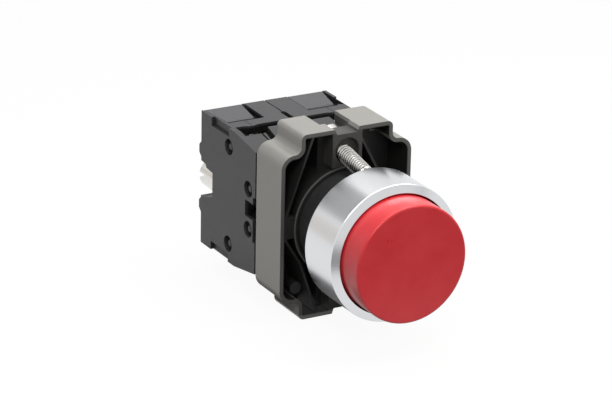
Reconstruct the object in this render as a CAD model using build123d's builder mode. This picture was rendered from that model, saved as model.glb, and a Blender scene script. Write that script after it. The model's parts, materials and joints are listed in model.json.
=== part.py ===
from build123d import *
import os
from math import cos, radians, sin, tan

# Panel pushbutton for a 22 mm hole: operator head, die-cast mounting collar and two contact blocks.
# Millimetres. The button faces -Y and +Z is up. The origin is the centre of the seat on the panel.

# Travel and running clearances
travel = 4.5
stop_gap = 0.4
slide_gap = 0.08
rest_gap = 0.05

# Bezel
bezel_r = 14.5
bezel_rim = 1.75
bezel_tube = 10.4
bezel_bevel = 0.8
cap_slot = 0.35
bezel_skin = 0.9
bezel_edge = 0.15

# Cap
cap_proud = 6.1
cap_wall = 1.4
cap_top = 2.0
cap_edge = 0.6

# Head body and gasket
barrel_r = 10.9
gasket_wall = 1.6
gasket_proud = 0.4
flange_wall = 1.6
head_bore_r = 9.4
partition_y = 7.0
partition_wall = 2.5

# Pusher and its small parts
pusher_stem_r = 6.0
pusher_plate_wall = 1.5
piston_rear_y = -1.0
cap_rib = 1.6
cap_boss_r = 3.5
seal_wire = 1.5
seal_y = -2.1
clip_wall = 0.8
clip_reach = 1.7
clip_bite = 0.6
return_wire = 0.8
return_coils = 3.5

# Mounting collar
collar_y = 8.8
collar_depth = 11.35
collar_half_width = 15.0
shoulder_height = 16.0
lug_half_width = 10.5
lug_step = 4.0
shoulder_radius = 3.0
step_radius = 1.4
lug_radius = 1.2
lug_rear_radius = 1.2
collar_wall = 0.9
hub_fit = 0.2
hub_wall = 0.77
floor_wall = 3.35
floor_bore_r = 9.3
rib_wall = 0.5
upper_rib_x = 7.74
upper_rib_sink = 1.7
lower_rib_x = 6.2
lower_rib_sink = 1.0
lower_rib_bend = (10.4, 7.5)
boss_rib_x = (3.0, 7.8)
boss_rib_drop = (2.1, 11.2)
boss_half_width = 3.4
boss_depth = 3.4
boss_step_depth = 1.15
boss_step_x = (3.0, 2.4, 2.3, 2.7)
slot_left = 4.2
slot_right = 2.8
slot_wall_left = 0.8
slot_wall_right = 1.8
slot_floor = 0.45
slot_front_wall = 0.8
web_low = -1.75
web_high = 2.6
post_r = 1.3
post_x = 10.2
post_z = 13.6
post_setback = 2.0

# Bayonet between barrel and collar
bayonet_y = 12.6
bayonet_width = 2.0
bayonet_depth = 0.9
bayonet_angle = 40

# Clamping screws, inclined towards the axis at the front
clamp_tilt = 10.5
clamp_rise = 3.1
clamp_screw_r = 1.75
clamp_head_r = 3.3
clamp_head = 2.3
clamp_tip_y = 2.45
clamp_head_y = 14.4
clamp_head_edge = 0.55
clamp_head_fit = 0.2
clamp_recess_r = 2.75
clamp_recess = 1.4
clamp_recess_lift = 1.2
head_room = 0.3
clamp_chamfer = 0.4
slot_width = 0.9
thread_gap = 0.05

# Contact block case, drawn for the left block
block_width = 14.82
block_half_height = 14.75
block_depth = 24.18
block_front_half_height = 13.3
block_taper = 8.95
block_middle_gap = 0.24
cover_seam_x = 9.7
seam_gap = 0.1
seam_groove = 0.4
seam_groove_depth = 1.0
case_wall = 1.25

# Wire openings and terminals
entry_y = 27.1
entry_depth = 4.7
funnel = 1.85
entry_left = 13.5
entry_right = 1.5
entry_narrow = 2.3
entry_corner = 7.2
entry_dip = 0.5
entry_dip_x = (11.6, 10.3, 9.5, 8.0)
relief_x = (7.7, 9.2, 8.8)
relief_y = (2.5, 3.3)
chamber_left = 12.2
chamber_right = 2.8
strip_wall = 0.8
strip_slot = 0.3
strip_setback = 0.6
terminal_tip = 0.5
terminal_x = 7.5
terminal_inset = 4.75
terminal_screw_r = 1.5
terminal_head_r = 2.5
terminal_head = 2.2
saddle_wall = 1.0
saddle_width = 8.6
saddle_height = 5.0
saddle_room = 0.3
wire_space = 4.0
driver_hole_r = 3.0

# Mechanism of the block
plunger_x = 3.5
plunger_width = 3.2
plunger_height = 5.0
plunger_rear_y = 34.6
bay_width = 3.9
bay_rear_y = 42.9
bridge_width = 2.0
bridge_window = 3.2
contact_spring_r = 0.7
contact_spring_wire = 0.3
contact_spring_coils = 3
bridge_end = 0.4
bridge_wall = 0.6
contact_r = 1.0
contact_wall = 0.45
contact_inset = 1.6
spring_wire = 0.45
spring_r = 1.6
spring_coils = 6
spigot_r = 1.1
spigot = 2.0

# Fixing screw of the block
fixing_x = 11.1
fixing_z = -0.15
fixing_screw_r = 1.5
fixing_head_r = 3.3
fixing_head_y = 39.5
fixing_head = 7.0
fixing_slot = 1.2
fixing_slot_depth = 2.4
fixing_bite = 2.6
fixing_room = 0.35
fixing_chamfer = 0.5
notch = [(0, 3.7), (2.0, 3.5), (2.4, 2.8), (5.18, 2.5), (5.18, -2.8), (1.2, -4.1), (0, -4.1)]

# Small features of the case
pin_r = 0.9
pin_recess_r = 1.75
pin_recess = 0.9
pin_sunk = 0.35
pin_length = 1.9
rear_pin = (31.9, 4.05)
front_pin = (23.2, 4.4)
edge_recess = 0.7
edge_recess_y = 31.9
edge_recess_length = 7.8
edge_recess_height = 1.9
window_depth = 4.35
window_half_height = 1.75
front_notch = 0.95
front_notch_low = 6.5
front_notch_high = 3.3
nose_z = 6.2
nose_half_height = 1.7
nose = 0.9
nose_width = 2.5
plate_y = 35.7
upper_plate_x = (14.5, 5.4, 6.9, 13.55)
lower_plate_x = (13.9, 5.3, 5.3, 12.1)
upper_wedge_x = (5.5, 4.8, 5.0, 7.2)
lower_wedge_x = (13.8, 14.1, 14.1, 12.0)
upper_slot_x = (13.5, 5.4)
lower_slot_x = (12.6, 5.3)
wedge_start = 0.5
plate_wall = 1.3
plate_slot = 0.9
plate_gap = 0.08
middle_slot = 0.55
middle_slot_length = 16.2
middle_slot_depth = 1.0

# Places that follow from the sizes above
lug_height = shoulder_height + lug_step
boss_height = lug_height - boss_step_depth
clamp_height = barrel_r + clamp_rise
flange_y = -gasket_wall - flange_wall
bezel_rear_y = -gasket_proud
bezel_front_y = bezel_rear_y - bezel_tube - bezel_bevel
cap_face_y = bezel_front_y - cap_proud
cap_rear_y = flange_y - travel - stop_gap
flange_r = bezel_r - bezel_skin
bezel_bore_r = bezel_r - bezel_rim
cap_r = bezel_bore_r - cap_slot
partition_rear_y = partition_y + partition_wall
collar_rear_y = collar_y + collar_depth
hub_bore_r = barrel_r + hub_fit
hub_r = hub_bore_r + hub_wall
floor_y = collar_rear_y - floor_wall
block_rear_y = collar_rear_y + block_depth
plunger_tip_y = collar_rear_y - travel - stop_gap
pusher_rear_y = plunger_tip_y - rest_gap
barrel_rear_y = floor_y - stop_gap
strip_y = entry_y + strip_setback
saddle_y = strip_y + strip_wall + wire_space
terminal_head_y = saddle_y + saddle_wall
chamber_rear_y = terminal_head_y + terminal_head + stop_gap
terminal_z = block_half_height - terminal_inset
chamber_low = terminal_z - saddle_height / 2 - saddle_room
chamber_high = block_half_height - funnel
strip_high = chamber_high - stop_gap
contact_z = chamber_low - contact_inset
bridge_height = 2 * (contact_z + bridge_width / 2 + bridge_end)
tongue_low = contact_z - contact_r
pin_places = [(rear_pin[0], block_half_height - rear_pin[1]), front_pin]


def across(y, turn=1):
    # A cross plane at y, seen from the front: its own x runs along X and its own y along Z.
    # With a turn of -1 it is turned upside down.
    return Plane(origin=(0, y, 0), x_dir=(turn, 0, 0), z_dir=(0, -1, 0))


def along_screw(y, upright):
    # A plane square to the upper (1) or lower (-1) clamping screw, where its axis passes through y
    z = clamp_height + (y - collar_y) * tan(radians(clamp_tilt))
    return Plane(
        origin=(0, y, upright * z),
        x_dir=(1, 0, 0),
        z_dir=(0, -cos(radians(clamp_tilt)), -upright * sin(radians(clamp_tilt))),
    )


def save(piece, name):
    piece.label = name
    export_step(piece, f"parts/{name}.step")


os.makedirs("parts", exist_ok=True)

# Button cap: a cup with a flat face and a rounded front edge
with BuildPart() as button_cap:
    with BuildSketch(across(cap_rear_y)):
        Circle(cap_r)
    extrude(amount=cap_rear_y - cap_face_y)
    fillet(button_cap.faces().sort_by(Axis.Y)[0].edges(), cap_edge)
    with BuildSketch(across(cap_rear_y)):
        Circle(cap_r - cap_wall)
    extrude(amount=cap_rear_y - cap_face_y - cap_top, mode=Mode.SUBTRACT)
button_cap.part.label = "button_cap"
export_step(button_cap.part, "parts/button_cap.step")

# Bezel ring: bore for the cap, bevelled front, counterbore for the flange and the gasket behind it
with BuildPart() as bezel_ring:
    with BuildSketch(Plane.XY) as bezel_section:
        with BuildLine():
            Polyline(
                (bezel_bore_r, bezel_front_y),
                (bezel_r, bezel_front_y + bezel_bevel),
                (bezel_r, bezel_rear_y),
                (flange_r, bezel_rear_y),
                (flange_r, flange_y),
                (bezel_bore_r, flange_y),
                close=True,
            )
        make_face()
        chamfer(bezel_section.vertices().group_by(Axis.X)[-1], bezel_edge)
    revolve(axis=Axis.Y)
bezel_ring.part.label = "bezel_ring"
export_step(bezel_ring.part, "parts/bezel_ring.step")

# Head body: flange inside the bezel, barrel through the panel, partition with the guide of the pusher
with BuildPart() as head_body:
    with BuildSketch(Plane.XY):
        with BuildLine():
            Polyline(
                (head_bore_r, flange_y),
                (flange_r, flange_y),
                (flange_r, -gasket_wall),
                (barrel_r, -gasket_wall),
                (barrel_r, barrel_rear_y),
                (head_bore_r, barrel_rear_y),
                (head_bore_r, partition_rear_y),
                (pusher_stem_r + slide_gap, partition_rear_y),
                (pusher_stem_r + slide_gap, partition_y),
                (head_bore_r, partition_y),
                close=True,
            )
        make_face()
    revolve(axis=Axis.Y)
    # Bayonet groove and its two ways in from the rear
    with BuildSketch(across(bayonet_y)):
        Circle(barrel_r)
        Circle(barrel_r - bayonet_depth, mode=Mode.SUBTRACT)
    extrude(amount=-bayonet_width, mode=Mode.SUBTRACT)
    with BuildSketch(across(bayonet_y)):
        with PolarLocations(barrel_r, 2, start_angle=90):
            Rectangle(2 * bayonet_depth, 2 * hub_r * tan(radians(bayonet_angle / 2)))
    extrude(amount=-(barrel_rear_y - bayonet_y), mode=Mode.SUBTRACT)
head_body.part.label = "head_body"
export_step(head_body.part, "parts/head_body.step")

# Panel gasket in the bezel's counterbore, a little proud of its rim
with BuildPart() as panel_gasket:
    with BuildSketch(across(0)):
        Circle(flange_r - rest_gap)
        Circle(barrel_r + rest_gap, mode=Mode.SUBTRACT)
    extrude(amount=gasket_wall)
panel_gasket.part.label = "panel_gasket"
export_step(panel_gasket.part, "parts/panel_gasket.step")

# Pusher: ribbed plate inside the cap, piston in the head's bore, stem through the partition
piston_r = head_bore_r - slide_gap
seal_groove_r = piston_r - seal_wire + slide_gap
clip_y = partition_rear_y + rest_gap
plate_front_y = cap_rear_y - pusher_plate_wall
with BuildPart() as pusher:
    with BuildSketch(Plane.XY):
        with BuildLine():
            Polyline(
                (0, plate_front_y),
                (cap_r - cap_wall - rest_gap, plate_front_y),
                (cap_r - cap_wall - rest_gap, cap_rear_y),
                (piston_r, cap_rear_y),
                (piston_r, seal_y - seal_wire / 2),
                (seal_groove_r, seal_y - seal_wire / 2),
                (seal_groove_r, seal_y + seal_wire / 2),
                (piston_r, seal_y + seal_wire / 2),
                (piston_r, piston_rear_y),
                (pusher_stem_r, piston_rear_y),
                (pusher_stem_r, clip_y),
                (pusher_stem_r - clip_bite, clip_y),
                (pusher_stem_r - clip_bite, clip_y + clip_wall),
                (pusher_stem_r, clip_y + clip_wall),
                (pusher_stem_r, pusher_rear_y),
                (0, pusher_rear_y),
                close=True,
            )
        make_face()
    revolve(axis=Axis.Y)
    with BuildSketch(across(plate_front_y)):
        Circle(cap_boss_r)
        Rectangle(2 * (cap_r - 2 * cap_wall), cap_rib)
        Rectangle(cap_rib, 2 * (cap_r - 2 * cap_wall))
    extrude(amount=plate_front_y - cap_face_y - cap_top)
pusher.part.label = "pusher"
export_step(pusher.part, "parts/pusher.step")

# Square rubber seal ring in the piston's groove
with BuildPart() as pusher_seal:
    with BuildSketch(Plane.XY):
        with Locations((seal_groove_r + seal_wire / 2, seal_y)):
            Rectangle(seal_wire, seal_wire - 2 * rest_gap)
    revolve(axis=Axis.Y)
pusher_seal.part.label = "pusher_seal"
export_step(pusher_seal.part, "parts/pusher_seal.step")

# Open clip in the groove of the stem, which stops on the partition
with BuildPart() as retaining_clip:
    with BuildSketch(across(clip_y)):
        Circle(pusher_stem_r + clip_reach)
        Circle(pusher_stem_r - clip_bite, mode=Mode.SUBTRACT)
        with Locations((0, -pusher_stem_r)):
            Rectangle(pusher_stem_r, 2 * pusher_stem_r, mode=Mode.SUBTRACT)
    extrude(amount=-clip_wall)
retaining_clip.part.label = "retaining_clip"
export_step(retaining_clip.part, "parts/retaining_clip.step")


def coil_spring(start_y, end_y, mean_r, wire, coils, center_x=0.0):
    # A helical spring along Y between two seats
    length = end_y - start_y - wire - 2 * rest_gap
    foot = (center_x, start_y + wire / 2 + rest_gap, 0)
    with BuildPart() as spring:
        with BuildLine():
            coil = Helix(length / coils, length, mean_r, center=foot, direction=(0, 1, 0))
        with BuildSketch(Plane(origin=coil @ 0, z_dir=coil % 0)):
            RegularPolygon(wire / 2, 4)
        sweep(path=coil, is_frenet=True)
    return spring.part


# Return spring round the stem, between the piston and the partition
return_mean_r = (pusher_stem_r + head_bore_r) / 2
return_spring = coil_spring(piston_rear_y, partition_y, return_mean_r, return_wire, return_coils)
save(return_spring, "return_spring")


def collar_outline():
    # Front view of the collar: a block with a lug at the top and one at the bottom
    Rectangle(2 * collar_half_width, 2 * shoulder_height)
    Rectangle(2 * lug_half_width, 2 * lug_height)
    between = (collar_half_width + lug_half_width) / 2
    fillet(vertices().filter_by(lambda v: abs(v.X) > between), shoulder_radius)
    fillet(vertices().filter_by(lambda v: abs(v.Y) > lug_height - lug_radius), lug_radius)
    steps = vertices().filter_by(lambda v: abs(abs(v.X) - lug_half_width) < 0.01)
    fillet(steps.filter_by(lambda v: abs(abs(v.Y) - shoulder_height) < 0.01), step_radius)


def pocket_section(y, left, right):
    # Front view of the pockets, between the outer wall, the hub, the webs, the ribs and the screw blocks,
    # which reach from left to right of the upper screw; the lower one is turned by half a turn
    with BuildSketch(across(y)) as pockets:
        collar_outline()
        offset(amount=-collar_wall, mode=Mode.REPLACE)
        Circle(hub_r, mode=Mode.SUBTRACT)
        with Locations(((right - left) / 2, lug_height / 2), ((left - right) / 2, -lug_height / 2)):
            Rectangle(left + right, lug_height, mode=Mode.SUBTRACT)
        with Locations((0, (web_low + web_high) / 2)):
            Rectangle(2 * collar_half_width, web_high - web_low, mode=Mode.SUBTRACT)
        with BuildLine():
            Line((-inner_side, web_high - upper_rib_sink), (-upper_rib_x, inner_lug))
        trace(line_width=rib_wall, mode=Mode.SUBTRACT)
        for hand in (1, -1):
            with BuildLine():
                Polyline(
                    (-hand * inner_side, web_low + lower_rib_sink),
                    (-hand * lower_rib_bend[0], -lower_rib_bend[1]),
                    (-hand * lower_rib_x, -inner_lug),
                )
            trace(line_width=rib_wall, mode=Mode.SUBTRACT)
        with BuildLine():
            Line(
                (boss_rib_x[0], lug_height - boss_rib_drop[0]),
                (boss_rib_x[1], lug_height - boss_rib_drop[1]),
            )
        trace(line_width=rib_wall, mode=Mode.SUBTRACT)
    return pockets.sketch


# Mounting collar: open at the front, with a hub, screw bosses and thin diagonal ribs
inner_lug = lug_height - collar_wall / 2
inner_side = collar_half_width - collar_wall / 2
head_room_y = clamp_head_y - head_room
with BuildPart() as mounting_collar:
    with BuildSketch(across(collar_y)):
        collar_outline()
    extrude(amount=-collar_depth)
    # Pockets: first beside the bosses, then behind them, beside the walls of the slots
    beside = pocket_section(collar_y, boss_half_width, boss_half_width)
    extrude(beside, amount=-boss_depth, mode=Mode.SUBTRACT)
    behind = pocket_section(collar_y + boss_depth, slot_left + slot_wall_left, slot_right + slot_wall_right)
    extrude(behind, amount=-(floor_y - collar_y - boss_depth), mode=Mode.SUBTRACT)
    # Round posts in the lower pockets, set back from the front
    with BuildSketch(across(floor_y)):
        with Locations((-post_x, -post_z), (post_x, -post_z)):
            Circle(post_r)
    extrude(amount=floor_y - collar_y - post_setback)
    # Hub bore, and the smaller bore of the floor behind it
    with BuildSketch(across(collar_y)):
        Circle(hub_bore_r)
    extrude(amount=-(floor_y - collar_y), mode=Mode.SUBTRACT)
    with BuildSketch(across(floor_y)):
        Circle(floor_bore_r)
    extrude(amount=-floor_wall, mode=Mode.SUBTRACT)
    # Bayonet claws inside the hub, in the groove of the barrel
    with BuildSketch(across(bayonet_y + stop_gap / 2)):
        Circle(hub_bore_r + hub_wall / 2)
        Circle(barrel_r - bayonet_depth + hub_fit, mode=Mode.SUBTRACT)
        Rectangle(4 * hub_r, 2 * hub_r * tan(radians(bayonet_angle / 2)), mode=Mode.INTERSECT)
    extrude(amount=-(bayonet_width - stop_gap))
    for turn in (1, -1):
        # Each lug: a step over the boss, and a slot behind it for the screw's head
        with BuildSketch(across(collar_y, turn)):
            Polygon(
                (-boss_step_x[0], lug_height),
                (-boss_step_x[1], boss_height),
                (boss_step_x[2], boss_height),
                (boss_step_x[3], lug_height),
                align=None,
            )
        extrude(amount=-boss_depth - slot_front_wall, mode=Mode.SUBTRACT)
        with BuildSketch(across(collar_y + boss_depth + slot_front_wall, turn)):
            with Locations(((slot_right - slot_left) / 2, hub_bore_r + slot_floor)):
                Rectangle(slot_left + slot_right, lug_height, align=(Align.CENTER, Align.MIN))
        extrude(amount=-collar_depth, mode=Mode.SUBTRACT)
    # Rear edges of the lugs, along the top and down both walls of the slots
    lug_edges = mounting_collar.edges().filter_by(Axis.X)
    lug_edges = lug_edges.filter_by(lambda e: abs(e.center().Z) > lug_height - 0.01)
    slot_edges = mounting_collar.edges().filter_by(Axis.Z)
    slot_edges = slot_edges.filter_by(lambda e: abs(e.center().X) < slot_left + 0.1)
    fillet(lug_edges.group_by(Axis.Y)[-1] + slot_edges.group_by(Axis.Y)[-1], lug_rear_radius)
    for upright in (1, -1):
        # Inclined screw hole through the boss, its front recess, and room for the screw's head
        with BuildSketch(along_screw(collar_y, upright)):
            Circle(clamp_screw_r + thread_gap)
        extrude(amount=-2 * boss_depth, mode=Mode.SUBTRACT)
        with BuildSketch(across(collar_y)):
            with Locations((0, upright * (clamp_height + clamp_recess_lift))):
                Circle(clamp_recess_r)
            with Locations((0, upright * clamp_height)):
                Circle(clamp_screw_r + thread_gap)
        extrude(amount=-clamp_recess, mode=Mode.SUBTRACT)
        with BuildSketch(along_screw(head_room_y, upright)):
            Circle(clamp_head_r + clamp_head_fit)
        extrude(amount=-collar_depth, mode=Mode.SUBTRACT)
    # Threaded holes for the fixing screws of the two blocks
    with BuildSketch(across(collar_rear_y)):
        with Locations((-fixing_x, fixing_z), (fixing_x, -fixing_z)):
            Circle(fixing_screw_r + thread_gap)
    extrude(amount=fixing_bite + stop_gap, mode=Mode.SUBTRACT)
mounting_collar.part.label = "mounting_collar"
export_step(mounting_collar.part, "parts/mounting_collar.step")


# Clamping screws: a slotted pan head at the rear, and a chamfered tip that bears on the panel
clamp_length = (clamp_head_y - clamp_tip_y) / cos(radians(clamp_tilt))
for name, upright in (("clamp_screw_top", 1), ("clamp_screw_bottom", -1)):
    with BuildPart() as clamp_screw:
        with BuildSketch(along_screw(clamp_head_y, upright)):
            Circle(clamp_screw_r)
        extrude(amount=clamp_length)
        chamfer(clamp_screw.faces().sort_by(Axis.Y)[0].edges(), clamp_chamfer)
        with BuildSketch(along_screw(clamp_head_y, upright)):
            Circle(clamp_head_r)
        extrude(amount=-clamp_head)
        fillet(clamp_screw.faces().sort_by(Axis.Y)[-1].edges(), clamp_head_edge)
        with BuildSketch(along_screw(clamp_head_y, upright).offset(-clamp_head)):
            Rectangle(2 * clamp_head_r, slot_width)
        extrude(amount=clamp_head / 2, mode=Mode.SUBTRACT)
    save(clamp_screw.part, name)


def plate_plan(xs):
    # Plan of a marker plate, from its rear edge to its front lip
    return [(-xs[0], block_rear_y), (-xs[1], block_rear_y), (-xs[2], plate_y), (-xs[3], plate_y)]


def wedge_plan(xs):
    # Plan of the slanted recess beside a marker plate
    front = plate_y - plate_slot
    return [(-xs[0], block_rear_y), (-xs[1], block_rear_y - wedge_start), (-xs[2], front), (-xs[3], plate_y)]


plates = (
    (1, plate_plan(upper_plate_x), wedge_plan(upper_wedge_x), upper_slot_x),
    (-1, plate_plan(lower_plate_x), wedge_plan(lower_wedge_x), lower_slot_x),
)
# Plan of a wire opening: wide beside the screw's front end, with a slanted relief over it
entry_rear_y = entry_y + entry_depth
entry_plan = [
    (-entry_left, entry_rear_y),
    (-entry_dip_x[0], entry_rear_y),
    (-entry_dip_x[1], entry_rear_y - entry_dip),
    (-entry_dip_x[2], entry_rear_y - entry_dip),
    (-entry_dip_x[3], entry_rear_y),
    (-entry_right, entry_rear_y),
    (-entry_right, entry_y + entry_narrow),
    (-entry_corner, entry_y + entry_narrow),
    (-relief_x[0], entry_y - relief_y[0]),
    (-relief_x[1], entry_y - relief_y[1]),
    (-relief_x[2], entry_y),
    (-entry_left, entry_y),
]

# The case of the left block, whole: housing and cover are parted from it along the seam
bay_front_y = collar_rear_y + case_wall
with BuildPart() as case:
    with BuildSketch(Plane.YZ.offset(-block_width)):
        Polygon(
            (collar_rear_y, -block_front_half_height),
            (collar_rear_y + block_taper, -block_half_height),
            (block_rear_y, -block_half_height),
            (block_rear_y, block_half_height),
            (collar_rear_y + block_taper, block_half_height),
            (collar_rear_y, block_front_half_height),
            align=None,
        )
    extrude(amount=block_width - block_middle_gap / 2)
    # Snap noses on the rear edge of the outer side
    with BuildSketch(Plane.YZ.offset(-block_width)):
        for upright in (1, -1):
            Polygon(
                (block_rear_y, upright * (nose_z - nose_half_height)),
                (block_rear_y + nose, upright * (nose_z - nose_half_height / 2)),
                (block_rear_y + nose, upright * (nose_z + nose_half_height / 2)),
                (block_rear_y, upright * (nose_z + nose_half_height)),
                align=None,
            )
    extrude(amount=nose_width)
    for upright, plate, wedge, slot_ends in plates:
        skin = Plane.XY.offset(upright * block_half_height)
        # Wire opening and, under it, the chamber of the terminal clamp
        with BuildSketch(skin):
            Polygon(*entry_plan, align=None)
        extrude(amount=-upright * funnel, mode=Mode.SUBTRACT)
        with BuildSketch(across(strip_y)):
            with Locations((-(chamber_left + chamber_right) / 2, upright * (chamber_low + chamber_high) / 2)):
                Rectangle(chamber_left - chamber_right, chamber_high - chamber_low)
        extrude(amount=-(chamber_rear_y - strip_y), mode=Mode.SUBTRACT)
        # Slot that holds the edges of the terminal strip
        with BuildSketch(across(strip_y)):
            with Locations((-(chamber_left + chamber_right) / 2, upright * (chamber_low + strip_high) / 2)):
                Rectangle(chamber_left - chamber_right + 2 * strip_slot, strip_high - chamber_low)
        extrude(amount=-strip_wall, mode=Mode.SUBTRACT)
        # Relief for the screw's front end, and the screwdriver's way in from the rear
        with BuildSketch(across(strip_y)):
            with Locations((-terminal_x, upright * terminal_z)):
                Circle(terminal_screw_r + head_room)
        extrude(amount=wire_space + terminal_tip + stop_gap, mode=Mode.SUBTRACT)
        with BuildSketch(across(chamber_rear_y)):
            with Locations((-terminal_x, upright * terminal_z)):
                Circle(driver_hole_r)
        extrude(amount=-(block_rear_y - chamber_rear_y), mode=Mode.SUBTRACT)
        # Seat of the marker plate, the wedge beside it and the slot in front of it
        with BuildSketch(skin):
            Polygon(*plate, align=None)
            Polygon(*wedge, align=None)
            with Locations((-sum(slot_ends) / 2, plate_y - plate_slot / 2)):
                Rectangle(slot_ends[0] - slot_ends[1], plate_slot)
        extrude(amount=-upright * plate_wall, mode=Mode.SUBTRACT)
        # Shallow recess in the outer side, under the edge
        with BuildSketch(Plane.YZ.offset(-block_width)):
            with Locations(
                (edge_recess_y + edge_recess_length / 2, upright * (block_half_height - edge_recess_height / 2))
            ):
                Rectangle(edge_recess_length, edge_recess_height)
        extrude(amount=edge_recess, mode=Mode.SUBTRACT)
        # The seam between housing and cover opens into a groove in front of the wire opening
        with BuildSketch(skin):
            with Locations((-cover_seam_x, collar_rear_y)):
                Rectangle(seam_groove, entry_y - collar_rear_y, align=(Align.CENTER, Align.MIN))
        extrude(amount=-upright * seam_groove_depth, mode=Mode.SUBTRACT)
        # The gap between the blocks is wider towards the front
        with BuildSketch(skin):
            with Locations((0, collar_rear_y)):
                Rectangle(2 * middle_slot, middle_slot_length, align=(Align.CENTER, Align.MIN))
        extrude(amount=-upright * middle_slot_depth, mode=Mode.SUBTRACT)
        # Round recesses of the case pins, and the pins' holes
        for pin_y, pin_z in pin_places:
            with BuildSketch(Plane.YZ.offset(-block_width)):
                with Locations((pin_y, upright * pin_z)):
                    Circle(pin_recess_r)
            extrude(amount=pin_recess, mode=Mode.SUBTRACT)
            with BuildSketch(Plane.YZ.offset(-block_width + pin_sunk)):
                with Locations((pin_y, upright * pin_z)):
                    Circle(pin_r)
            extrude(amount=pin_length, mode=Mode.SUBTRACT)
    # Bay of the plunger and the bridge, with the plunger's guide in the front wall
    with BuildSketch(across(bay_front_y)):
        with Locations((-plunger_x, 0)):
            Rectangle(bay_width, 2 * chamber_low)
    extrude(amount=-(bay_rear_y - bay_front_y), mode=Mode.SUBTRACT)
    with BuildSketch(across(collar_rear_y)):
        with Locations((-plunger_x, 0)):
            Rectangle(plunger_width + 2 * slide_gap, plunger_height + 2 * slide_gap)
    extrude(amount=-case_wall, mode=Mode.SUBTRACT)
    # Way of the fixing screw, and the rear notch and front window that show it
    with BuildSketch(across(collar_rear_y)):
        with Locations((-fixing_x, fixing_z)):
            Circle(fixing_screw_r + hub_fit)
    extrude(amount=-block_depth, mode=Mode.SUBTRACT)
    with BuildSketch(across(fixing_head_y - rest_gap)):
        with Locations((-fixing_x, fixing_z)):
            Circle(fixing_head_r + fixing_room)
    extrude(amount=-block_depth, mode=Mode.SUBTRACT)
    with BuildSketch(Plane.YZ.offset(-block_width)):
        Polygon(*[(block_rear_y - depth, z) for depth, z in notch], align=None)
        with Locations((collar_rear_y, 0)):
            Rectangle(2 * window_depth, 2 * window_half_height)
        with Locations((collar_rear_y, (front_notch_high - front_notch_low) / 2)):
            Rectangle(2 * front_notch, front_notch_high + front_notch_low)
    extrude(amount=block_width - fixing_x, mode=Mode.SUBTRACT)

with BuildPart() as housing:
    add(case.part)
    split(bisect_by=Plane.YZ.offset(-cover_seam_x + seam_gap / 2), keep=Keep.TOP)

with BuildPart() as cover:
    add(case.part)
    split(bisect_by=Plane.YZ.offset(-cover_seam_x - seam_gap / 2), keep=Keep.BOTTOM)

# Pins that close the case, in the round recesses of the cover
with BuildPart() as case_pins:
    with BuildSketch(Plane.YZ.offset(-block_width + pin_sunk)):
        for pin_y, pin_z in pin_places:
            with Locations((pin_y, pin_z), (pin_y, -pin_z)):
                Circle(pin_r)
    extrude(amount=pin_length)
    chamfer(case_pins.faces().filter_by(Axis.X).group_by(Axis.X)[0].edges(), pin_r / 3)

# Marker plates, with a rounded front lip
with BuildPart() as marker_plates:
    for upright, plate, wedge, slot_ends in plates:
        with BuildSketch(Plane.XY.offset(upright * block_half_height)):
            Polygon(*plate, align=None)
            offset(amount=-plate_gap, kind=Kind.INTERSECTION)
        extrude(amount=-upright * (plate_wall - plate_gap))
    lips = marker_plates.edges().filter_by(Axis.X).group_by(Axis.Y)[0]
    fillet(lips.filter_by(lambda e: abs(e.center().Z) > block_half_height - 0.01), plate_wall / 3)

# Fixing screw of the block, driven from the rear into the collar
with BuildPart() as fixing_screw:
    with BuildSketch(across(collar_rear_y - fixing_bite)):
        with Locations((-fixing_x, fixing_z)):
            Circle(fixing_screw_r)
    extrude(amount=-(fixing_head_y - collar_rear_y + fixing_bite))
    with BuildSketch(across(fixing_head_y)):
        with Locations((-fixing_x, fixing_z)):
            Circle(fixing_head_r)
    extrude(amount=-fixing_head)
    chamfer(fixing_screw.faces().sort_by(Axis.Y)[-1].edges(), fixing_chamfer)
    with BuildSketch(across(fixing_head_y + fixing_head)):
        with Locations((-fixing_x, fixing_z)):
            Rectangle(2 * fixing_head_r, fixing_slot)
    extrude(amount=fixing_slot_depth, mode=Mode.SUBTRACT)

# Terminal screw and its saddle washer, upper ones; the lower ones mirror them
with BuildPart() as terminal_screw:
    with BuildSketch(across(strip_y - terminal_tip)):
        with Locations((-terminal_x, terminal_z)):
            Circle(terminal_screw_r)
    extrude(amount=-(terminal_head_y - strip_y + terminal_tip))
    with BuildSketch(across(terminal_head_y)):
        with Locations((-terminal_x, terminal_z)):
            Circle(terminal_head_r)
    extrude(amount=-terminal_head)
    with BuildSketch(across(terminal_head_y + terminal_head)):
        with Locations((-terminal_x, terminal_z)):
            Rectangle(2 * terminal_head_r, slot_width)
    extrude(amount=terminal_head / 2, mode=Mode.SUBTRACT)

with BuildPart() as saddle:
    with BuildSketch(across(saddle_y)):
        with Locations((-terminal_x, terminal_z)):
            Rectangle(saddle_width, saddle_height)
            Circle(terminal_screw_r + thread_gap, mode=Mode.SUBTRACT)
    extrude(amount=-saddle_wall)
    # Two shallow grooves grip the wires
    with BuildSketch(Plane.XY.offset(terminal_z - saddle_height / 2)):
        with Locations((-terminal_x - saddle_width / 3, saddle_y), (-terminal_x + saddle_width / 3, saddle_y)):
            RegularPolygon(saddle_wall / 2, 4)
    extrude(amount=saddle_height, mode=Mode.SUBTRACT)


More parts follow.
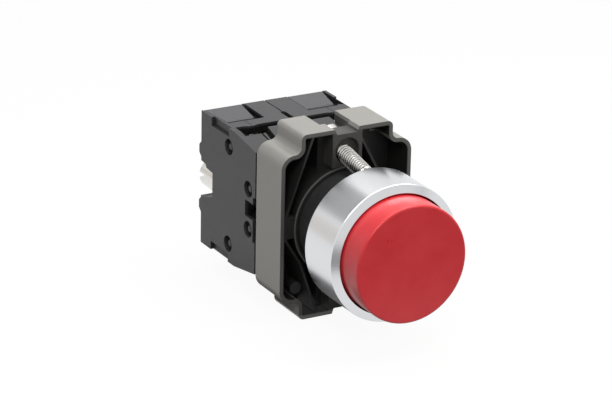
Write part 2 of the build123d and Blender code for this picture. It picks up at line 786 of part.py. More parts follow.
def terminal_strips(tip_side):
    # Upper and lower strip with the fixed contacts, on their front (-1) or rear (1) face
    tip_y = strip_y if tip_side < 0 else strip_y + strip_wall
    with BuildPart() as strips:
        for upright in (1, -1):
            with BuildSketch(across(strip_y)):
                with Locations((-(chamber_left + chamber_right) / 2, upright * (chamber_low + strip_high) / 2)):
                    Rectangle(chamber_left - chamber_right + 2 * strip_slot, strip_high - chamber_low)
                with Locations((-plunger_x, upright * (tongue_low + chamber_low) / 2)):
                    Rectangle(bay_width - 2 * head_room, chamber_low - tongue_low)
                with Locations((-terminal_x, upright * terminal_z)):
                    Circle(terminal_screw_r + thread_gap, mode=Mode.SUBTRACT)
            extrude(amount=-strip_wall)
            with BuildSketch(across(tip_y)):
                with Locations((-plunger_x, upright * contact_z)):
                    Circle(contact_r)
            extrude(amount=-tip_side * contact_wall)
    return strips.part


def contact_bridge(bridge_y, tip_side):
    # Bar along Z through the plunger's window, with a contact at each end
    with BuildPart() as bridge:
        with BuildSketch(across(bridge_y)):
            with Locations((-plunger_x, 0)):
                Rectangle(bridge_width, bridge_height)
        extrude(amount=-bridge_wall)
        with BuildSketch(across(bridge_y if tip_side < 0 else bridge_y + bridge_wall)):
            with Locations((-plunger_x, contact_z), (-plunger_x, -contact_z)):
                Circle(bridge_width / 2)
        extrude(amount=-tip_side * contact_wall)
    return bridge.part


def plunger(bridge_y, spring_side):
    # Rod with a window for the bridge and its contact spring, and a spigot for the return spring
    window_start = bridge_y if spring_side > 0 else bridge_y + bridge_wall - bridge_window
    with BuildPart() as rod:
        with BuildSketch(across(plunger_tip_y)):
            with Locations((-plunger_x, 0)):
                Rectangle(plunger_width, plunger_height)
        extrude(amount=-(plunger_rear_y - plunger_tip_y))
        with BuildSketch(across(plunger_rear_y)):
            with Locations((-plunger_x, 0)):
                Circle(spigot_r)
        extrude(amount=-spigot)
        with BuildSketch(across(window_start)):
            with Locations((-plunger_x, 0)):
                Rectangle(bridge_width + 2 * rest_gap, plunger_height)
        extrude(amount=-bridge_window, mode=Mode.SUBTRACT)
    return rod.part


# Opening contact on the left: the bridge lies behind the strips and leaves them as the button goes in
opening_bridge_y = strip_y + strip_wall + 2 * contact_wall + rest_gap
opening_spring = (opening_bridge_y + bridge_wall, opening_bridge_y + bridge_window)
# Closing contact on the right: the bridge lies in front and meets the strips at full travel
closing_bridge_y = strip_y - 2 * contact_wall - rest_gap - travel - bridge_wall
closing_spring = (closing_bridge_y + bridge_wall - bridge_window, closing_bridge_y)

blocks = (
    ("left", 0, opening_bridge_y, -1, opening_spring),
    ("right", 180, closing_bridge_y, 1, closing_spring),
)
lower_terminal_screw = terminal_screw.part.mirror(Plane.XY)
lower_saddle = saddle.part.mirror(Plane.XY)
for side, turn, bridge_y, tip_side, spring_span in blocks:
    pieces = {
        "housing": housing.part,
        "cover": cover.part,
        "case_pins": case_pins.part,
        "marker_plates": marker_plates.part,
        "fixing_screw": fixing_screw.part,
        "upper_terminal_screw": terminal_screw.part if turn == 0 else lower_terminal_screw,
        "lower_terminal_screw": lower_terminal_screw if turn == 0 else terminal_screw.part,
        "upper_saddle": saddle.part if turn == 0 else lower_saddle,
        "lower_saddle": lower_saddle if turn == 0 else saddle.part,
        "terminal_strips": terminal_strips(-tip_side),
        "contact_bridge": contact_bridge(bridge_y, tip_side),
        "plunger": plunger(bridge_y, -tip_side),
        "plunger_spring": coil_spring(
            plunger_rear_y, bay_rear_y, spring_r, spring_wire, spring_coils, -plunger_x
        ),
        "contact_spring": coil_spring(
            *spring_span, contact_spring_r, contact_spring_wire, contact_spring_coils, -plunger_x
        ),
    }
    for name, piece in pieces.items():
        save(piece.rotate(Axis.Y, turn), f"{side}_{name}")
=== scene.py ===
import json
from math import cos, pi, radians, sin, tan

import bmesh
import bpy
from mathutils import Matrix, Vector


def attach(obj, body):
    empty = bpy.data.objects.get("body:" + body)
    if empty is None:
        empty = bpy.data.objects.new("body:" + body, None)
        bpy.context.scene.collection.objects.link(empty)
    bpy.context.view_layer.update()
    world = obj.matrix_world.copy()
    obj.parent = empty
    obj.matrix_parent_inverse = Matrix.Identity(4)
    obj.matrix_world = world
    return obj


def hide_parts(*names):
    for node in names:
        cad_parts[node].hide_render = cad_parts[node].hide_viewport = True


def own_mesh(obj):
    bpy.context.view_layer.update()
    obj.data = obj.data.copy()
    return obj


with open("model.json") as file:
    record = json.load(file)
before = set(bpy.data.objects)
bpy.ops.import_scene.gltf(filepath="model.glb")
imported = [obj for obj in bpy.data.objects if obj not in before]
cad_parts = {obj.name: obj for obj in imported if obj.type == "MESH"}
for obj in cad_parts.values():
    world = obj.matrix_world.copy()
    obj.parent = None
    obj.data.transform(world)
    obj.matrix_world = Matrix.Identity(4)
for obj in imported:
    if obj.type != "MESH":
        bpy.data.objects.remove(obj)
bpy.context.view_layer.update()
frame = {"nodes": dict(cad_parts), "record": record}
nodes = frame["nodes"]
mm = 0.001


# Small helpers for materials, where sizes are in real millimetres

def linearColour(hexColour):
    channels = [int(hexColour[i:i + 2], 16) / 255 for i in (1, 3, 5)]
    return [c / 12.92 if c <= 0.04045 else ((c + 0.055) / 1.055) ** 2.4 for c in channels] + [1.0]


def fillNode(tree, node, values=None, links=None):
    for name, value in (values or {}).items():
        node.inputs[name].default_value = value
    for name, source in (links or {}).items():
        tree.links.new(source, node.inputs[name])
    return node


def addNode(tree, kind, values=None, links=None, **settings):
    node = tree.nodes.new(kind)
    for name, value in settings.items():
        setattr(node, name, value)
    return fillNode(tree, node, values, links)


def newMaterial(name):
    material = bpy.data.materials.new(name)
    material.use_nodes = True
    tree = material.node_tree
    return material, tree, tree.nodes["Principled BSDF"]


def objectPlace(tree):
    return addNode(tree, "ShaderNodeTexCoord").outputs["Object"]


def axesOf(tree, place):
    return addNode(tree, "ShaderNodeSeparateXYZ", links={"Vector": place}).outputs


def mathOf(tree, operation, first, second=None):
    # each value is a number or the output of another node
    node = addNode(tree, "ShaderNodeMath", operation=operation)
    for index, value in enumerate((first, second)):
        if isinstance(value, (int, float)):
            node.inputs[index].default_value = value
        elif value is not None:
            tree.links.new(value, node.inputs[index])
    return node.outputs["Value"]


def lengthOf(tree, x, z):
    # how long x and z are together, such as the distance from the Y axis
    flat = addNode(tree, "ShaderNodeCombineXYZ", links={"X": x, "Z": z}).outputs["Vector"]
    return addNode(tree, "ShaderNodeVectorMath", operation="LENGTH", links={0: flat}).outputs["Value"]


def rangeOf(tree, source, low, high, toLow, toHigh):
    limits = {"From Min": low, "From Max": high, "To Min": toLow, "To Max": toHigh}
    return addNode(tree, "ShaderNodeMapRange", limits, {"Value": source}).outputs["Result"]


def mixColours(tree, factor, first, second):
    # each colour is a hex value or the result of another mix
    mix = addNode(tree, "ShaderNodeMix", data_type="RGBA")
    tree.links.new(factor, mix.inputs["Factor"])
    for socket, colour in ((mix.inputs["A"], first), (mix.inputs["B"], second)):
        if isinstance(colour, str):
            socket.default_value = linearColour(colour)
        else:
            tree.links.new(colour, socket)
    return mix.outputs["Result"]


def noiseOf(tree, place, sizeMm, detail, roughness=0.5):
    values = {"Scale": 1 / (sizeMm * mm), "Detail": detail, "Roughness": roughness}
    return addNode(tree, "ShaderNodeTexNoise", values, {"Vector": place}).outputs["Fac"]


def reliefOf(tree, height, depthMm, strength=1.0):
    values = {"Strength": strength, "Distance": depthMm * mm}
    return addNode(tree, "ShaderNodeBump", values, {"Height": height}).outputs["Normal"]


def grainOf(tree, place, look, detail=2.0):
    # fine relief of a mould or a blasted surface, where the size is the distance between grains
    return reliefOf(tree, noiseOf(tree, place, look["grainMm"], detail, 0.6), look["grainDepthMm"])


def unevenRoughness(tree, source, look):
    # from the first to the second roughness of the look over the middle of the noise
    return rangeOf(tree, source, 0.3, 0.7, *look["roughness"])


# Materials, each named for what the real part is made of

capLook = {"colour": "#E8363D", "worn": "#ED3F46", "roughness": (0.27, 0.34), "gloss": 0.38, "cloudMm": 5.0,
           "grainMm": 0.22, "grainDepthMm": 0.012, "scatter": 0.08, "scatterMm": 0.6}
bezelLook = {"colour": "#DEDFE2", "groove": "#D8D9DB", "roughness": (0.23, 0.26), "grooveMm": 0.16,
             "grooveDepthMm": 0.004}
# painted shade: the inside colour darkens the pockets of the collar, the boss colour is a lighter painted
# shade on its screw bosses, and the front colour darkens the front face of its rim
collarLook = {"outside": "#93918C", "light": "#9D9B96", "front": "#5E5D5A", "inside": "#232322",
              # the rim colour is a painted highlight on the front rim of the hub
              "boss": "#403F3C", "rim": "#6E6D69", "roughness": (0.39, 0.48), "cloudMm": 2.5, "grainMm": 0.3,
              "grainDepthMm": 0.02, "rimMm": 0.05, "fadeMm": 0.15, "bareMm": (0.02, 0.08),
              "ringMm": (0.08, 0.2), "ringDepthMm": 0.1}
# the recess colour of the case is a painted shade for its openings
caseLook = {"colour": "#333335", "light": "#3B3B3D", "recess": "#0D0D0E", "roughness": (0.38, 0.48),
            "gloss": 0.34, "grainMm": 0.16, "grainDepthMm": 0.014}
plateLook = {"colour": "#3E3E41", "light": "#464649", "roughness": (0.32, 0.42), "gloss": 0.38,
             "grainMm": 0.2, "grainDepthMm": 0.01}
barrelLook = {"colour": "#2B2B2C", "light": "#333334", "roughness": (0.3, 0.4), "gloss": 0.5,
              "grainMm": 0.4, "grainDepthMm": 0.01}
rubberLook = {"colour": "#151515", "light": "#1B1B1B", "roughness": (0.58, 0.68), "gloss": 0.4,
              "grainMm": 0.3, "grainDepthMm": 0.015}
innerLook = {"colour": "#CFCBBF", "light": "#D8D5CA", "roughness": (0.41, 0.51), "gloss": 0.5,
             "grainMm": 0.3, "grainDepthMm": 0.01}
# the root colour is a painted shade for the roots of the thread
zincLook = {"colour": "#E4E3DF", "second": "#D2D1CD", "root": "#4A4946", "roughness": (0.15, 0.28),
            "scratchMm": 0.35}
brassLook = {"colour": "#D8BE83", "second": "#BC9F62", "roughness": (0.25, 0.38), "scratchMm": 0.4}
springLook = {"colour": "#B9B9B6", "second": "#9C9C99", "roughness": (0.23, 0.36), "scratchMm": 0.3}
scratchDepthMm = 0.006
plasticIor = 1.53


def mouldedRed(name, look):
    # ABS, injection moulded in an eroded tool: an even satin red with a very fine grain
    material, tree, shader = newMaterial(name)
    place = objectPlace(tree)
    cloud = noiseOf(tree, place, look["cloudMm"], 3.0)
    tint = mixColours(tree, rangeOf(tree, cloud, 0.35, 0.7, 0, 1), look["colour"], look["worn"])
    fillNode(tree, shader,
             {"IOR": plasticIor, "Specular IOR Level": look["gloss"], "Subsurface Weight": look["scatter"],
              "Subsurface Radius": (1.0, 0.3, 0.2), "Subsurface Scale": look["scatterMm"] * mm},
             {"Base Color": tint, "Roughness": unevenRoughness(tree, cloud, look),
              "Normal": grainOf(tree, place, look)})
    return material


def turnedNickel(name, look):
    # brass, turned and satin nickel plated: fine rings round the axis stretch the reflections
    material, tree, shader = newMaterial(name)
    axes = axesOf(tree, objectPlace(tree))
    along = mathOf(tree, "ADD", axes["Y"], lengthOf(tree, axes["X"], axes["Z"]))
    rings = addNode(tree, "ShaderNodeTexNoise", {"Scale": 1 / (look["grooveMm"] * mm), "Detail": 2.0},
                    {"W": along}, noise_dimensions="1D").outputs["Fac"]
    fillNode(tree, shader, {"Metallic": 1.0},
             {"Base Color": mixColours(tree, rings, look["colour"], look["groove"]),
              "Roughness": unevenRoughness(tree, rings, look),
              "Normal": reliefOf(tree, rings, look["grooveDepthMm"], 0.3)})
    return material


def castCollar(name, look, shape):
    # zinc die-casting: tumbled and lacquered grey outside, with a painted shade, nearly black, in its
    # pockets
    material, tree, shader = newMaterial(name)
    place = objectPlace(tree)
    axes = axesOf(tree, place)
    acrossX = mathOf(tree, "ABSOLUTE", axes["X"])
    upZ = mathOf(tree, "ABSOLUTE", axes["Z"])
    # the pockets lie within two rectangles with rounded corners, behind the front rim
    past = []
    for halfWidth, halfHeight, corner in shape["insideHalf"]:
        pastX = mathOf(tree, "MAXIMUM", mathOf(tree, "SUBTRACT", acrossX, (halfWidth - corner) * mm), 0)
        pastZ = mathOf(tree, "MAXIMUM", mathOf(tree, "SUBTRACT", upZ, (halfHeight - corner) * mm), 0)
        past.append(mathOf(tree, "SUBTRACT", lengthOf(tree, pastX, pastZ), corner * mm))
    outline = mathOf(tree, "MINIMUM", past[0], past[1])
    ahead = mathOf(tree, "SUBTRACT", shape["front"] * mm, axes["Y"])
    # 1 inside the pockets, where the colour is a painted shade
    hidden = rangeOf(tree, mathOf(tree, "MAXIMUM", outline, ahead), look["rimMm"] * mm,
                     (look["rimMm"] + look["fadeMm"]) * mm, 1, 0)
    # the screw bosses get a lighter painted shade than the pockets round them
    besideBoss = mathOf(tree, "MAXIMUM", mathOf(tree, "SUBTRACT", acrossX, shape["bossHalfWidth"] * mm),
                        mathOf(tree, "SUBTRACT", shape["bossLow"] * mm, upZ))
    onBoss = rangeOf(tree, besideBoss, 0, look["fadeMm"] * mm, 1, 0)
    inside = mixColours(tree, onBoss, look["inside"], look["boss"])
    cloud = noiseOf(tree, place, look["cloudMm"], 4.0)
    outside = mixColours(tree, cloud, look["outside"], look["light"])
    # a painted highlight: a thin light ring on the front rim of the hub, lifted out of the painted shade of
    # the pocket
    offRim = mathOf(tree, "SUBTRACT", lengthOf(tree, axes["X"], axes["Z"]), shape["hubRim"] * mm)
    offFront = mathOf(tree, "SUBTRACT", axes["Y"], (shape["front"] + look["ringDepthMm"]) * mm)
    offRing = mathOf(tree, "MAXIMUM", mathOf(tree, "ABSOLUTE", offRim), offFront)
    onRing = rangeOf(tree, offRing, look["ringMm"][0] * mm, look["ringMm"][1] * mm, 1, 0)
    inside = mixColours(tree, onRing, inside, look["rim"])
    # a painted shade darkens the flat front face of the rim, while the rounded edge beside it keeps the
    # lighter outside colour
    onFront = rangeOf(tree, axes["Y"], (shape["front"] + look["bareMm"][0]) * mm,
                      (shape["front"] + look["bareMm"][1]) * mm, 1, 0)
    outside = mixColours(tree, onFront, outside, look["front"])
    fillNode(tree, shader, None,
             {"Base Color": mixColours(tree, hidden, outside, inside),
              "Metallic": rangeOf(tree, hidden, 0, 1, 0.15, 0.0),
              "Roughness": unevenRoughness(tree, cloud, look),
              "Normal": grainOf(tree, place, look, 3.0)})
    return material


def recessDepth(tree, place, case):
    # 1 inside the openings of the case, 0 on its outer faces: the openings get a painted shade, nearly black
    axes = axesOf(tree, place)
    # the top slopes down towards the front, from the height of the case to that of its front edge
    top = rangeOf(tree, axes["Y"], case["front"] * mm, (case["front"] + case["taper"]) * mm,
                  case["frontHeight"] * mm, case["height"] * mm)
    underTop = mathOf(tree, "SUBTRACT", top, mathOf(tree, "ABSOLUTE", axes["Z"]))
    acrossX = mathOf(tree, "ABSOLUTE", axes["X"])
    (topSkin, topDeep), (sideSkin, sideDeep), (rearSkin, rearDeep) = case["skins"]
    belowTop = rangeOf(tree, underTop, topSkin * mm, topDeep * mm, 0, 1)
    withinSide = rangeOf(tree, acrossX, (case["width"] - sideDeep) * mm,
                         (case["width"] - sideSkin) * mm, 1, 0)
    beforeRear = rangeOf(tree, axes["Y"], (case["rear"] - rearDeep) * mm,
                         (case["rear"] - rearSkin) * mm, 1, 0)
    return mathOf(tree, "MINIMUM", mathOf(tree, "MINIMUM", belowTop, withinSide), beforeRear)


def mouldedPlastic(name, look, case=None):
    # polyamide, with or without glass fibre, or rubber: moulded with a dry, fine spark grain
    material, tree, shader = newMaterial(name)
    place = objectPlace(tree)
    cloud = noiseOf(tree, place, 1.2, 5.0, 0.65)
    tint = mixColours(tree, rangeOf(tree, cloud, 0.3, 0.7, 0, 1), look["colour"], look["light"])
    if case:
        # a painted shade darkens the openings of the case
        tint = mixColours(tree, recessDepth(tree, place, case), tint, look["recess"])
    fillNode(tree, shader, {"IOR": plasticIor, "Specular IOR Level": look["gloss"]},
             {"Base Color": tint, "Roughness": unevenRoughness(tree, cloud, look),
              "Normal": grainOf(tree, place, look)})
    return material


def brightMetal(name, look):
    # zinc plated steel, rolled brass or spring wire, with drawn marks that are coarser than the real ones
    material, tree, shader = newMaterial(name)
    marks = noiseOf(tree, objectPlace(tree), look["scratchMm"], 4.0)
    tint = mixColours(tree, marks, look["colour"], look["second"])
    if "root" in look:
        # a painted shade darkens the root of a thread, where the shade between its turns falls
        valley = addNode(tree, "ShaderNodeAttribute", attribute_name="threadValley").outputs["Fac"]
        tint = mixColours(tree, rangeOf(tree, valley, 0.25, 0.75, 0, 1), tint, look["root"])
    fillNode(tree, shader, {"Metallic": 1.0},
             {"Base Color": tint, "Roughness": unevenRoughness(tree, marks, look),
              "Normal": reliefOf(tree, marks, scratchDepthMm, 0.4)})
    return material


# Shapes

def meshObject(name, bm, material):
    mesh = bpy.data.meshes.new(name)
    bm.to_mesh(mesh)
    bm.free()
    mesh.materials.clear()
    mesh.materials.append(material)
    made = bpy.data.objects.new(name, mesh)
    bpy.context.scene.collection.objects.link(made)
    return made


def finishPiece(name, bm, material, body, node, sharpAngle=38):
    piece = meshObject(name, bm, material)
    piece.data.shade_smooth()
    piece.data.set_sharp_from_angle(angle=radians(sharpAngle))
    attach(piece, body)
    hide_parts(node)
    return piece


def roundEdges(piece, widthMm, segments=2, angle=35):
    bevel = piece.modifiers.new("edges", "BEVEL")
    bevel.width = widthMm * mm
    bevel.segments = segments
    bevel.limit_method = "ANGLE"
    bevel.angle_limit = radians(angle)
    # the large flat faces keep their own normals, and only the rounded edges are shaded smooth
    weighted = piece.modifiers.new("shading", "WEIGHTED_NORMAL")
    weighted.weight = 80
    weighted.keep_sharp = True


def turnedMesh(outline, steps=192):
    # closed outline of (radius, y) in millimetres, turned round the Y axis
    bm = bmesh.new()
    verts = [bm.verts.new((r * mm, y * mm, 0)) for r, y in outline]
    edges = [bm.edges.new((verts[i], verts[(i + 1) % len(verts)])) for i in range(len(verts))
             if not (outline[i][0] == 0 and outline[(i + 1) % len(verts)][0] == 0)]
    bmesh.ops.spin(bm, geom=verts + edges, cent=(0, 0, 0), axis=(0, 1, 0), dvec=(0, 0, 0), angle=2 * pi,
                   steps=steps, use_merge=True, use_duplicate=False)
    bmesh.ops.remove_doubles(bm, verts=bm.verts, dist=1e-7)
    bmesh.ops.recalc_face_normals(bm, faces=bm.faces)
    return bm


def mergeFlat(bm, angle):
    bmesh.ops.dissolve_limit(bm, angle_limit=radians(angle), verts=bm.verts, edges=bm.edges)


def copiedMesh(node):
    # the piece's own solid, with its corners joined again
    bm = bmesh.new()
    bm.from_mesh(nodes[node].data)
    bmesh.ops.remove_doubles(bm, verts=bm.verts, dist=1e-6)
    return bm


def dressedCopy(node, body, material, edgeMm, segments=2):
    bm = copiedMesh(node)
    mergeFlat(bm, 0.5)
    roundEdges(finishPiece(node + "_finished", bm, material, body, node), edgeMm, segments)


print("stage: head")
cap = {"radius": 12.4, "front": -17.7, "rear": -8.1, "wall": 1.4, "top": 2.0, "edge": 0.45}
redAbs = mouldedRed("mouldedRedAbs", capLook)
capBore = cap["radius"] - cap["wall"]
capRoof = cap["front"] + cap["top"]
capBmesh = turnedMesh([(0, cap["front"]), (cap["radius"], cap["front"]), (cap["radius"], cap["rear"]),
                       (capBore, cap["rear"]), (capBore, capRoof), (0, capRoof)])
mergeFlat(capBmesh, 0.2)
roundEdges(finishPiece("cap_moulded", capBmesh, redAbs, "button", "button_cap"), cap["edge"], 5)

bezel = {"radius": 14.5, "bore": 12.75, "skin": 13.6, "rear": -0.4, "bevel": -10.8, "front": -11.6,
         "flange": -3.2, "edge": 0.12}
nickel = turnedNickel("satinNickelPlate", bezelLook)
bezelBmesh = turnedMesh([
    (bezel["bore"], bezel["front"]), (bezel["radius"], bezel["bevel"]), (bezel["radius"], bezel["rear"]),
    (bezel["skin"], bezel["rear"]), (bezel["skin"], bezel["flange"]), (bezel["bore"], bezel["flange"])])
bezelPiece = finishPiece("bezel_turned", bezelBmesh, nickel, "switch", "bezel_ring", 20)
roundEdges(bezelPiece, bezel["edge"], 3, 15)

blackPlastic = mouldedPlastic("blackPolyamide", barrelLook)
dressedCopy("head_body", "switch", blackPlastic, 0.15)
rubber = mouldedPlastic("nitrileRubber", rubberLook)
dressedCopy("panel_gasket", "switch", rubber, 0.2, 3)

print("stage: collar")
# a rectangle round the pockets is given by half its width, half its height and the radius of its corners
collar = {"front": 8.8, "insideHalf": ((14.1, 15.1, 2.1), (9.6, 19.1, 0.3)), "bossHalfWidth": 3.4,
          "bossLow": 12.0, "hubRim": 11.75, "edge": 0.22}
zincCasting = castCollar("lacqueredZincCasting", collarLook, collar)
dressedCopy("mounting_collar", "switch", zincCasting, collar["edge"], 3)

print("stage: screws")
# the photo shows the screws run in up to the bezel, so the thread ends nearer to it than the solid does
clampScrew = {"tilt": 10.5, "height": 14.0, "at": 8.8, "tip": 0.5, "head": 14.4, "radius": 1.75,
              "pitch": 0.7, "depth": 0.5, "steps": 36, "tipRadius": 1.2, "tipLength": 1.1}
brightZinc = brightMetal("brightZincPlate", zincLook)


def threadedRod(screw, lengthMm):
    # the thread is one pitch of its outline turned along a helix, cut square at both ends and closed
    root = screw["radius"] - screw["depth"]
    pitch = screw["pitch"]
    outline = [(root, 0), (root, 0.12 * pitch), (screw["radius"], 0.45 * pitch),
               (screw["radius"], 0.6 * pitch), (root, 0.93 * pitch), (root, pitch)]
    turns = int(lengthMm / pitch) + 2
    bm = bmesh.new()
    verts = [bm.verts.new((r * mm, (y - pitch) * mm, 0)) for r, y in outline]
    edges = [bm.edges.new(pair) for pair in zip(verts[:-1], verts[1:])]
    bmesh.ops.spin(bm, geom=verts + edges, cent=(0, 0, 0), axis=(0, 1, 0),
                   dvec=(0, pitch * mm / screw["steps"], 0), angle=2 * pi * turns,
                   steps=turns * screw["steps"], use_merge=False, use_duplicate=False)
    bmesh.ops.remove_doubles(bm, verts=bm.verts, dist=2e-6)
    for place, outward in ((0, -1), (lengthMm, 1)):
        geometry = bm.verts[:] + bm.edges[:] + bm.faces[:]
        bmesh.ops.bisect_plane(bm, geom=geometry, dist=1e-7, plane_co=(0, place * mm, 0),
                               plane_no=(0, outward, 0), clear_outer=True)
        rim = [e for e in bm.edges
               if e.is_boundary and all(abs(v.co.y - place * mm) < 1e-6 for v in e.verts)]
        bmesh.ops.edgeloop_fill(bm, edges=rim)
    for vert in bm.verts:
        # the first turns run out into a chamfered tip
        reach = min(vert.co.y / (screw["tipLength"] * mm), 1)
        widest = (screw["tipRadius"] + (screw["radius"] - screw["tipRadius"]) * reach) * mm
        radius = (vert.co.x ** 2 + vert.co.z ** 2) ** 0.5
        if radius > widest:
            vert.co.x *= widest / radius
            vert.co.z *= widest / radius
    bmesh.ops.recalc_face_normals(bm, faces=bm.faces)
    return bm


def clampScrewPiece(node, upright):
    tilt = radians(clampScrew["tilt"])
    lengthMm = (clampScrew["head"] - clampScrew["tip"]) / cos(tilt)
    bm = threadedRod(clampScrew, lengthMm)
    rise = (clampScrew["tip"] - clampScrew["at"]) * tan(tilt)
    tipPlace = Vector((0, clampScrew["tip"], upright * (clampScrew["height"] + rise))) * mm
    turn = Matrix.Rotation(upright * tilt, 4, "X")
    bmesh.ops.transform(bm, matrix=Matrix.Translation(tipPlace) @ turn, verts=bm.verts)
    axis = Vector((0, cos(tilt), upright * sin(tilt)))
    # the head comes from the solid, cut where the rod meets it
    head = copiedMesh(node)
    mergeFlat(head, 0.5)
    bmesh.ops.bisect_plane(head, geom=head.verts[:] + head.edges[:] + head.faces[:], dist=1e-7,
                           plane_co=tipPlace + axis * (lengthMm - 0.01) * mm, plane_no=-axis,
                           clear_outer=True)
    bmesh.ops.edgeloop_fill(head, edges=[e for e in head.edges if e.is_boundary])
    headMesh = bpy.data.meshes.new(node + "_head")
    head.to_mesh(headMesh)
    head.free()
    bm.from_mesh(headMesh)
    bpy.data.meshes.remove(headMesh)
    # how deep each point lies in the thread, for the painted shade at its root
    valley = bm.verts.layers.float.new("threadValley")
    for vert in bm.verts:
        along = (vert.co - tipPlace).dot(axis)
        out = (vert.co - tipPlace - along * axis).length
        if -0.01 * mm < along < (lengthMm - 0.05) * mm:
            vert[valley] = min(max((clampScrew["radius"] - out / mm) / clampScrew["depth"], 0), 1)
    finishPiece(node + "_threaded", bm, brightZinc, node, node, 30)


clampScrewPiece("clamp_screw_top", 1)
clampScrewPiece("clamp_screw_bottom", -1)

print("stage: contact blocks")
# a pair of skins is how deep the painted shade of an opening starts and is full: from the top, side and rear
caseBody = {"width": 14.82, "height": 14.75, "front": 20.15, "rear": 44.33, "taper": 8.95,
            "frontHeight": 13.3, "skins": ((0.3, 0.6), (0.5, 0.9), (0.3, 0.7))}
blockEdges = {"housing": 0.12, "cover": 0.12, "pins": 0.1, "plates": 0.15, "fixing": 0.12, "terminal": 0.08}
casePlastic = mouldedPlastic("glassFilledPolyamide", caseLook, caseBody)
platePlastic = mouldedPlastic("markerPlatePolyamide", plateLook)
for side in ("left", "right"):
    for part in ("housing", "cover"):
        dressedCopy(f"{side}_{part}", "switch", casePlastic, blockEdges[part])
    dressedCopy(f"{side}_case_pins", "switch", casePlastic, blockEdges["pins"])
    dressedCopy(f"{side}_marker_plates", "switch", platePlastic, blockEdges["plates"])
    fixingScrew = f"{side}_fixing_screw"
    dressedCopy(fixingScrew, fixingScrew, brightZinc, blockEdges["fixing"])
    for level in ("upper", "lower"):
        for part in ("terminal_screw", "saddle"):
            dressedCopy(f"{side}_{level}_{part}", f"{side}_{level}_clamp", brightZinc,
                        blockEdges["terminal"])

print("stage: springs")
springSteel = brightMetal("springSteelWire", springLook)
for node, joint in (("return_spring", "button_press"), ("left_plunger_spring", "left_plunger_slide"),
                    ("right_plunger_spring", "right_plunger_slide")):
    spring = finishPiece(node + "_coiled", copiedMesh(node), springSteel, "switch", node, 50)
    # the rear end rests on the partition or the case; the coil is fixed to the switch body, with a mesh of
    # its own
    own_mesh(spring)

print("stage: inner pieces")
# what stays hidden inside keeps its solids and gets the finish of the real ones
innerPlastic = mouldedPlastic("naturalPolyamide", innerLook)
brass = brightMetal("rolledBrass", brassLook)
slotFinish = {"red_cap": redAbs, "bezel_metal": nickel, "black_plastic": blackPlastic, "rubber": rubber,
              "collar_metal": zincCasting, "case_plastic": casePlastic, "plate_plastic": platePlastic,
              "inner_plastic": innerPlastic, "zinc_screw": brightZinc, "spring_steel": springSteel,
              "contact_brass": brass}
for entry in frame["record"]["subparts"]:
    cadObject = nodes[entry["node"]]
    cadObject.data.materials.clear()
    cadObject.data.materials.append(slotFinish[entry["material_slot"]])

print("stage: studio")
studio = {"floor": -20.0, "floorHalf": 6000.0, "world": 0.13, "paper": 0.94, "paperShown": "#454545",
          "paperThrown": "#787878"}
lamps = {
    "topSoftbox": {"place": (40, 60, 320), "aim": (0, 15, 0), "size": (360, 300), "power": 0.85},
    "frontSoftbox": {"place": (120, -420, 120), "aim": (0, 0, 0), "size": (560, 560), "power": 0.45},
    "keySoftbox": {"place": (-230, -250, 330), "aim": (0, 0, 0), "size": (190, 190), "power": 0.78},
    "stripSoftbox": {"place": (185, -95, 330), "aim": (0, 0, 0), "size": (110, 310), "power": 0.5},
}
# grey glowing cards that only reflections see, and no lamps: painted reflections that give the satin metal
# its bands, and a dark card under the object that is a painted shadow in those reflections
cards = {
    "bandCard": {"place": (-90, 240, 165), "aim": (0, -6, 8), "size": (190, 90), "turn": 28,
                 "grey": "#A8A8A8"},
    "leftCard": {"place": (-260, 330, 0), "aim": (0, -6, 0), "size": (260, 190), "turn": 0,
                 "grey": "#E6E2DC"},
    "frontCard": {"place": (10, -95, -19), "aim": (10, -95, 100), "size": (170, 100), "turn": 0,
                  "grey": "#969696"},
    "frontFlag": {"place": (150, -470, 150), "aim": (0, 0, 0), "size": (700, 700), "turn": 0,
                  "grey": "#B2B2B2"},
    # a dark sheet under the object: a painted shadow that only reflections see
    "paintedShadowCard": {"place": (6, 20, -19), "aim": (6, 20, 100), "size": (48, 56), "turn": 0,
                  "grey": "#686868"},
}


def facing(placeMm, aimMm, front):
    # stands at its place and turns the front axis to its aim
    place = Vector(placeMm) * mm
    turn = (Vector(aimMm) * mm - place).to_track_quat(front, "Y")
    return Matrix.Translation(place) @ turn.to_matrix().to_4x4()


def seenDirectly(tree):
    # 1 for what the camera sees, straight or in a reflection or through glass, and 0 for scattered light
    rays = addNode(tree, "ShaderNodeLightPath").outputs
    first = mathOf(tree, "MAXIMUM", rays["Is Camera Ray"], rays["Is Glossy Ray"])
    return mathOf(tree, "MAXIMUM", first, rays["Is Transmission Ray"])


for lampName, lamp in lamps.items():
    lampData = bpy.data.lights.new(lampName, "AREA")
    lampData.shape = "RECTANGLE"
    lampData.size = lamp["size"][0] * mm
    lampData.size_y = lamp["size"][1] * mm
    lampData.energy = lamp["power"]
    lampObject = bpy.data.objects.new(lampName, lampData)
    bpy.context.scene.collection.objects.link(lampObject)
    lampObject.matrix_world = facing(lamp["place"], lamp["aim"], "-Z")

# white paper as the camera and reflections see it, which throws less light up at the object than it shows
floorMaterial, floorTree, floorShader = newMaterial("paperFloor")
floorRays = seenDirectly(floorTree)
fillNode(floorTree, floorShader,
         {"Emission Color": (1, 1, 1, 1), "Roughness": 0.9, "Specular IOR Level": 0.0},
         {"Base Color": mixColours(floorTree, floorRays, studio["paperThrown"], studio["paperShown"]),
          "Emission Strength": rangeOf(floorTree, floorRays, 0, 1, 0, studio["paper"])})
floorBmesh = bmesh.new()
bmesh.ops.create_grid(floorBmesh, x_segments=1, y_segments=1, size=studio["floorHalf"] * mm,
                      matrix=Matrix.Translation((0, 0, studio["floor"] * mm)))
floorObject = meshObject("floor", floorBmesh, floorMaterial)

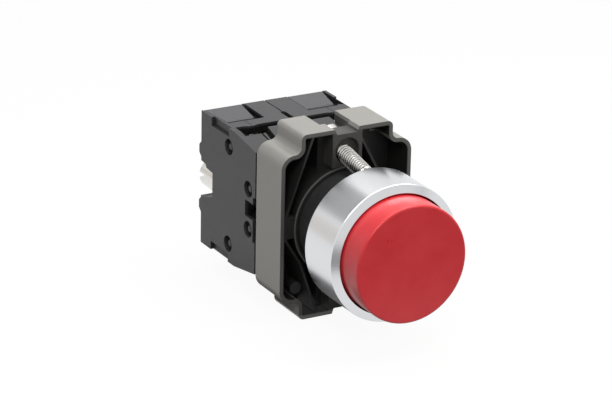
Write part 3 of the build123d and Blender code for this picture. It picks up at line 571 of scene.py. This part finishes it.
for cardName, card in cards.items():
    cardMaterial, cardTree, cardShader = newMaterial(cardName)
    fillNode(cardTree, cardShader,
             {"Base Color": (0, 0, 0, 1), "Specular IOR Level": 0.0, "Emission Strength": 1.0,
              "Emission Color": linearColour(card["grey"])})
    cardBmesh = bmesh.new()
    bmesh.ops.create_grid(cardBmesh, x_segments=1, y_segments=1, size=0.5)
    bmesh.ops.scale(cardBmesh, vec=(card["size"][0] * mm, card["size"][1] * mm, 1), verts=cardBmesh.verts)
    turned = facing(card["place"], card["aim"], "Z") @ Matrix.Rotation(radians(card["turn"]), 4, "Z")
    bmesh.ops.transform(cardBmesh, matrix=turned, verts=cardBmesh.verts)
    cardObject = meshObject(cardName, cardBmesh, cardMaterial)
    cardObject.visible_camera = False
    cardObject.visible_diffuse = False
    cardObject.visible_shadow = False

world = bpy.data.worlds.new("studio")
world.use_nodes = True
bpy.context.scene.world = world
worldTree = world.node_tree
worldStrength = rangeOf(worldTree, seenDirectly(worldTree), 0, 1, studio["world"], 1.0)
fillNode(worldTree, worldTree.nodes["Background"], {"Color": (1, 1, 1, 1)}, {"Strength": worldStrength})

# where the photo was taken from, as fitted to the round rims and the straight edges
viewpoint = {"place": (-291.363, -495.437, 227.811), "right": (0.87616464, -0.48162761, 0.01924509),
             "up": (0.15821627, 0.32507858, 0.93235805), "lens": 181.25, "sensor": 36, "nearest": 50}
cameraData = bpy.data.cameras.new("camera")
cameraData.sensor_fit = "HORIZONTAL"
cameraData.sensor_width = viewpoint["sensor"]
cameraData.lens = viewpoint["lens"]
cameraData.clip_start = viewpoint["nearest"] * mm
cameraObject = bpy.data.objects.new("camera", cameraData)
bpy.context.scene.collection.objects.link(cameraObject)
cameraRight = Vector(viewpoint["right"])
cameraUp = Vector(viewpoint["up"])
cameraTurn = Matrix((cameraRight, cameraUp, cameraRight.cross(cameraUp))).transposed().to_4x4()
cameraObject.matrix_world = Matrix.Translation(Vector(viewpoint["place"]) * mm) @ cameraTurn
bpy.context.scene.camera = cameraObject
bpy.context.scene.view_settings.view_transform = "Standard"
